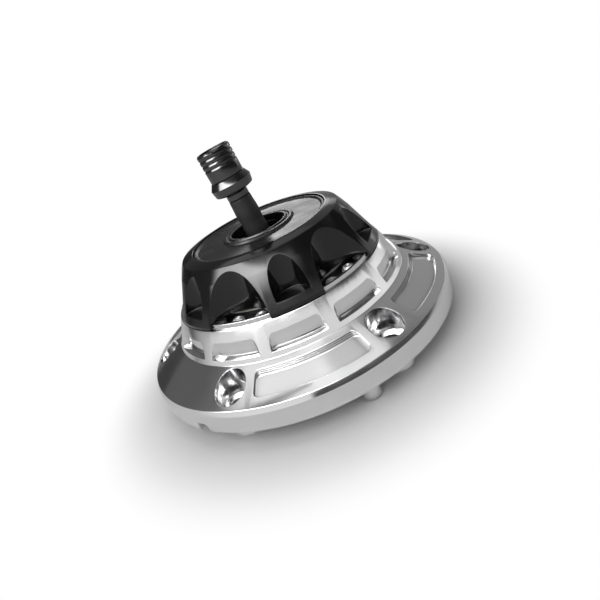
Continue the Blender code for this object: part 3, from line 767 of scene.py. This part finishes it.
def add_painted_crease_shade(tree, shader, colour, roughness, reach):
    """Paints shade into a piece's creases by ambient occlusion on its base colour, and dulls them."""
    link = tree.links.new
    depth = tree.nodes.new("ShaderNodeAmbientOcclusion")
    depth.samples = SHADER_SAMPLES
    set_input(depth, "Distance", reach)
    shade = map_range(tree, depth.outputs["AO"], PAINTED_CREASE_SPAN, (0.0, 1.0))
    mix = tree.nodes.new("ShaderNodeMix")
    mix.data_type = "RGBA"
    link(shade.outputs["Result"], mix.inputs["Factor"])
    # Painted shade: creases get a darker copy of the base colour
    set_input(mix, "A", (*[PAINTED_CREASE_SHADE * part for part in colour], 1.0))
    set_input(mix, "B", (*colour, 1.0))
    link(mix.outputs["Result"], shader.inputs["Base Color"])
    dull = tree.nodes.new("ShaderNodeMath")
    dull.operation = "MULTIPLY_ADD"
    link(shade.outputs["Result"], dull.inputs[0])
    dull.inputs[1].default_value = -CREASE_DULL
    dull.inputs[2].default_value = CREASE_DULL
    total = math_node(tree, "ADD", dull.outputs["Value"], roughness)
    link(total, shader.inputs["Roughness"])


def finish_material(name, colour, metallic, roughness, **detail):
    """Principled finish with rounded edges, fine turning marks and uneven roughness.

    detail: marks = bump height of the turning marks, grain = bump height of a fine cast,
    edge = radius of the soft edges, crease = reach of the shade painted into creases,
    uneven = spread of the roughness, patch = scale of that spread, brushed = anisotropy.
    """
    made = bpy.data.materials.new(name)
    made.use_nodes = True
    tree = made.node_tree
    link = tree.links.new
    shader = tree.nodes["Principled BSDF"]
    set_input(shader, "Base Color", (*colour, 1.0))
    set_input(shader, "Metallic", metallic)
    set_input(shader, "Roughness", roughness)
    if "ior" in detail:
        set_input(shader, "IOR", detail["ior"])
    if "brushed" in detail:
        set_input(shader, "Anisotropic", detail["brushed"])
        lay = tree.nodes.new("ShaderNodeTangent")
        lay.direction_type = "RADIAL"
        lay.axis = "Z"
        link(lay.outputs["Tangent"], shader.inputs["Tangent"])
    place = tree.nodes.new("ShaderNodeTexCoord").outputs["Object"]
    uneven = detail.get("uneven", UNEVEN)
    spread = noise(tree, place, detail.get("patch", PATCH_SCALE), PATCH_DETAIL)
    rough_span = (max(roughness - uneven, LEAST_ROUGHNESS), roughness + uneven)
    rough = map_range(tree, spread, NOISE_SPAN, rough_span).outputs["Result"]
    link(rough, shader.inputs["Roughness"])
    # Shade painted into the creases, darkening the base colour
    if "crease" in detail:
        add_painted_crease_shade(tree, shader, colour, rough, detail["crease"])
    normal = None
    if "edge" in detail:
        soft = tree.nodes.new("ShaderNodeBevel")
        soft.samples = SHADER_SAMPLES
        set_input(soft, "Radius", detail["edge"])
        normal = soft.outputs["Normal"]
    if "grain" in detail:
        cast = noise(tree, place, GRAIN_SCALE, GRAIN_DETAIL)
        normal = bump(tree, cast, detail["grain"], normal)
    if "marks" in detail:
        lines = noise(tree, ring_vector(tree, place), MARK_SCALE, MARK_DETAIL)
        normal = bump(tree, lines, detail["marks"], normal)
    if normal:
        link(normal, shader.inputs["Normal"])
    return made


def make_materials():
    silver = finish_material(
        "silver",
        (0.86, 0.86, 0.865),
        metallic=1.0,
        roughness=0.13,
        marks=2.2e-6,
        edge=0.22 * MM,
        # Shade painted into the silver's creases and pocket edges
        crease=3.0 * MM,
        uneven=0.04,
    )
    black = finish_material(
        "black",
        (0.005, 0.005, 0.0054),
        metallic=0.0,
        roughness=0.12,
        ior=1.5,
        grain=0.5e-6,
        edge=0.3 * MM,
    )
    valve = finish_material(
        "valve_black",
        (0.005, 0.005, 0.0054),
        metallic=0.0,
        roughness=0.12,
        ior=1.9,
        grain=0.3e-6,
        edge=0.06 * MM,
    )
    disc = finish_material(
        "disc_black",
        (0.008, 0.008, 0.0085),
        metallic=0.0,
        roughness=0.26,
        ior=1.5,
        marks=2e-6,
        edge=0.2 * MM,
        brushed=0.8,
    )
    insert = finish_material(
        "insert_black",
        (0.02, 0.02, 0.021),
        metallic=0.0,
        roughness=0.35,
        ior=1.6,
        marks=3e-6,
        edge=0.2 * MM,
    )
    rubber = finish_material(
        "rubber",
        (0.013, 0.013, 0.013),
        metallic=0.0,
        roughness=0.5,
        grain=6e-6,
        uneven=0.08,
        patch=300.0,
    )
    steel = finish_material(
        "steel",
        (0.8, 0.8, 0.79),
        metallic=1.0,
        roughness=0.52,
        grain=1.5e-6,
        edge=0.15 * MM,
    )
    nylon = finish_material(
        "nylon",
        (0.72, 0.7, 0.66),
        metallic=0.0,
        roughness=0.45,
        grain=2e-6,
        edge=0.1 * MM,
    )
    return {
        "flange_silver": silver,
        "dowel_silver": silver,
        "cap_black": black,
        "plug_black": insert,
        "valve_black": valve,
        "fitting_black": insert,
        "disc_black": disc,
        "insert_black": insert,
        "hose_rubber": rubber,
        "seal_rubber": rubber,
        "screw_steel": steel,
        "ball_steel": steel,
        "washer_nylon": nylon,
    }


def between(value, stops):
    """Straight lines between (place, shade) stops."""
    for (start, low), (end, high) in zip(stops, stops[1:]):
        if start <= value <= end:
            return low + (high - low) * (value - start) / (end - start)
    return 0.0


def inside(azimuth, elevation, card):
    left, right, low, high = card
    return left < azimuth < right and low < elevation < high


def cap_line(azimuth):
    """Lowest elevation at which the cap's wall, and not the collar below it, shows the studio."""
    return CAP_LINE + CAP_LINE_SWING * math.cos(math.radians(azimuth - CAP_LINE_PEAK))


def rim_line(azimuth):
    """Top of the dark low card."""
    return RIM_LINE * math.cos(math.radians(azimuth - RIM_LINE_PEAK))


def panel(azimuth, elevation):
    start, length = PANEL_EDGE_LEFT if azimuth < PANEL_BEND else PANEL_EDGE_RIGHT
    rise = (elevation - cap_line(azimuth) - start) / length
    return between(azimuth, PANEL) * min(1.0, max(PANEL_LEAST, rise))


def ceiling(azimuth, elevation):
    if GREY_CEILING_SPAN[0] < azimuth < GREY_CEILING_SPAN[1]:
        return GREY_CEILING_DARK if elevation < GREY_CEILING_EDGE else GREY_CEILING_TOP
    return SEAM_DARK if abs(azimuth) > SEAM_AZIMUTH else CEILING


def studio(azimuth, elevation):
    """Brightness of the studio in one direction, as polished pieces reflect it."""
    if RIM_SPAN[0] < azimuth < RIM_SPAN[1] and elevation < rim_line(azimuth):
        return RIM_DARK
    if inside(azimuth, elevation, SIDE_STRIP_CARD):
        return SIDE_STRIP
    if elevation < cap_line(azimuth):
        return between(azimuth, LOW_WALL)
    if azimuth < PANEL_RIGHT and elevation < PANEL_TOP:
        return panel(azimuth, elevation)
    if inside(azimuth, elevation, FRONT_DARK_CARD):
        return DARK
    if inside(azimuth, elevation, BACK_STRIP_CARD):
        return between(azimuth, BACK_STRIP)
    if inside(azimuth, elevation, RISING_CARD):
        return RISING_DARK + RISING_GAIN * min(1.0, (elevation - RISING_CARD[2]) / RISING_LENGTH)
    if inside(azimuth, elevation, BACK_DARK_CARD):
        return DARK
    if inside(azimuth, elevation, BACK_TOP_CARD):
        return between(azimuth, BACK_TOP)
    if elevation < HIGH_WALL_TOP:
        return between(azimuth, HIGH_WALL)
    return ceiling(azimuth, elevation)


def make_studio():
    """Curved studio walls that only reflections see."""
    bm = bmesh.new()
    layer = bm.verts.layers.float_color.new("shade")
    rows = []
    for row_number in range(ROW_COUNT):
        elevation = DOME_LOW + ROW_ANGLE * row_number
        out = DOME_R * math.cos(math.radians(elevation))
        height = DOME_R * math.sin(math.radians(elevation)) + DOME_CENTRE
        row = []
        for step in range(COLUMN_COUNT + 1):
            azimuth = COLUMN_ANGLE * step - 180
            vert = bm.verts.new(polar(out, azimuth, height))
            level = studio(azimuth, elevation)
            vert[layer] = (level, level, level, 1.0)
            row.append(vert)
        rows.append(row)
    for row, following in zip(rows, rows[1:]):
        for i in range(COLUMN_COUNT):
            bm.faces.new((row[i], row[i + 1], following[i + 1], following[i]))
    made = add_object("studio", bm)
    glow = bpy.data.materials.new("studio")
    glow.use_nodes = True
    nodes = glow.node_tree.nodes
    nodes.clear()
    level = nodes.new("ShaderNodeAttribute")
    level.attribute_name = "shade"
    light = nodes.new("ShaderNodeEmission")
    glow.node_tree.links.new(level.outputs["Color"], light.inputs["Color"])
    out = nodes.new("ShaderNodeOutputMaterial")
    glow.node_tree.links.new(light.outputs["Emission"], out.inputs["Surface"])
    made.data.materials.append(glow)
    made.visible_camera = False
    made.visible_diffuse = False
    made.visible_shadow = False
    made.visible_transmission = False


def make_key():
    """Soft key lamp, front left."""
    lamp = bpy.data.lights.new("key", "AREA")
    lamp.shape = "RECTANGLE"
    lamp.size = KEY_SIZE
    lamp.size_y = KEY_SIZE
    lamp.energy = KEY_RADIANCE * math.pi * KEY_SIZE * KEY_SIZE
    made = bpy.data.objects.new("key", lamp)
    bpy.context.scene.collection.objects.link(made)
    away = Vector(KEY_DIRECTION).normalized()
    made.rotation_mode = "QUATERNION"
    made.rotation_quaternion = away.to_track_quat("Z", "Y")
    made.location = KEY_TARGET + away * KEY_DISTANCE
    made.visible_camera = False
    made.visible_glossy = False


def make_floor():
    """Pale paper that keeps the shadow and fades to white for the camera."""
    bm = bmesh.new()
    bmesh.ops.create_circle(bm, cap_ends=True, segments=96, radius=FLOOR_R)
    floor = add_object("floor", bm)
    paper = bpy.data.materials.new("floor")
    paper.use_nodes = True
    tree = paper.node_tree
    nodes = tree.nodes
    link = tree.links.new
    shader = nodes["Principled BSDF"]
    set_input(shader, "Base Color", (FLOOR_SHADE, FLOOR_SHADE, FLOOR_SHADE, 1.0))
    set_input(shader, "Roughness", FLOOR_ROUGHNESS)
    set_input(shader, "Specular IOR Level", FLOOR_GLOSS)
    glow = nodes.new("ShaderNodeEmission")
    set_input(glow, "Color", (1.0, 1.0, 1.0, 1.0))
    place = nodes.new("ShaderNodeTexCoord")
    length = nodes.new("ShaderNodeVectorMath")
    length.operation = "LENGTH"
    link(place.outputs["Object"], length.inputs[0])
    fade = map_range(tree, length.outputs["Value"], FLOOR_FADE, (0.0, 1.0))
    fade.interpolation_type = "SMOOTHSTEP"
    path = nodes.new("ShaderNodeLightPath")
    seen = math_node(tree, "MULTIPLY", fade.outputs["Result"], path.outputs["Is Camera Ray"])
    mix = nodes.new("ShaderNodeMixShader")
    link(seen, mix.inputs["Fac"])
    link(shader.outputs["BSDF"], mix.inputs[1])
    link(glow.outputs["Emission"], mix.inputs[2])
    link(mix.outputs["Shader"], nodes["Material Output"].inputs["Surface"])
    floor.data.materials.append(paper)


def make_world():
    """White for the camera, metal and glass, and a soft fill light for the rest."""
    world = bpy.data.worlds.new("studio")
    bpy.context.scene.world = world
    world.use_nodes = True
    tree = world.node_tree
    sky = tree.nodes["Background"]
    rays = tree.nodes.new("ShaderNodeLightPath").outputs
    shown = math_node(tree, "MAXIMUM", rays["Is Camera Ray"], rays["Is Transmission Ray"])
    also = math_node(tree, "MAXIMUM", shown, rays["Is Glossy Ray"])
    strength = map_range(tree, also, (0.0, 1.0), (WORLD_LIGHT, 1.0))
    set_input(sky, "Color", (1.0, 1.0, 1.0, 1.0))
    tree.links.new(strength.outputs["Result"], sky.inputs["Strength"])


def make_camera():
    camera = bpy.data.cameras.new("camera")
    camera.sensor_width = SENSOR_WIDTH
    camera.lens = LENS
    camera.clip_start = CLIP_START
    made = bpy.data.objects.new("camera", camera)
    bpy.context.scene.collection.objects.link(made)
    place = Matrix((CAMERA_RIGHT, CAMERA_UP, CAMERA_BACK)).transposed().to_4x4()
    place.translation = CAMERA_PLACE
    made.matrix_world = place
    bpy.context.scene.camera = made


def main():
    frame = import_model()
    finishes = make_materials()
    slots = {entry["node"]: entry["material_slot"] for entry in frame["record"]["subparts"]}
    for name, node in frame["nodes"].items():
        node.data.materials.clear()
        node.data.materials.append(finishes[slots[name]])

    valve, valve_cap = make_valve()
    screws = [f"ring_screw_{index:02d}" for index in range(1, SCREW_COUNT + 1)]
    for piece, body, slot, nodes in (
        (make_flange(), "flange", "flange_silver", ["flange_ring"]),
        (make_insert(), "flange", "insert_black", ["threaded_insert"]),
        (make_screw_heads(), "flange", "screw_steel", screws),
        (make_cap(), "cap", "cap_black", ["cap_shell"]),
        (make_disc(), "cap", "disc_black", ["cover_disc"]),
        (make_hose(), "cap", "hose_rubber", ["vent_hose"]),
        (valve, "cap", "valve_black", ["valve_body"]),
        (valve_cap, "cap", "valve_black", ["valve_cap"]),
    ):
        piece.data.materials.clear()
        piece.data.materials.append(finishes[slot])
        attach(piece, body)
        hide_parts(*nodes)

    make_floor()
    make_world()
    make_key()
    make_studio()
    make_camera()
    scene = bpy.context.scene
    scene.view_settings.view_transform = "Standard"


main()
